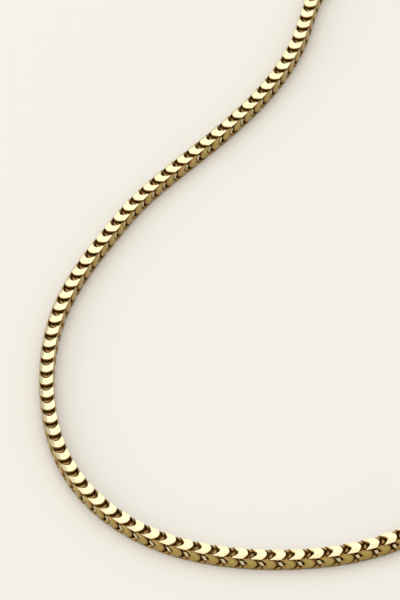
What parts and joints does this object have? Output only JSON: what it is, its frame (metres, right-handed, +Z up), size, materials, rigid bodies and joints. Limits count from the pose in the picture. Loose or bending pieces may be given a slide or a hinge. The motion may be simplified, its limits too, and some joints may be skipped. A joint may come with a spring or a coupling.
{
  "type": "franco chain necklace",
  "caption": "Square gold-coloured neck chain of V-shaped links on all four faces, laid flat in a closed loop with a plain clasp.",
  "frame": {"origin": "centre of the loop's bounding box, on the surface that the chain lies on", "axes": "+Z up, off the surface; +Y along the loop's longest extent, away from the viewer of the picture; +X to the viewer's right"},
  "size_m": [0.1463, 0.2432, 0.004],
  "materials": {
    "chain_gold": "polished yellow gold, flat-cut faces",
    "clasp_gold": "polished yellow gold"
  },
  "bodies": {
    "root": {"face_links": "chain_gold", "side_links": "chain_gold", "clasp": "clasp_gold"}
  },
  "joints": []
}
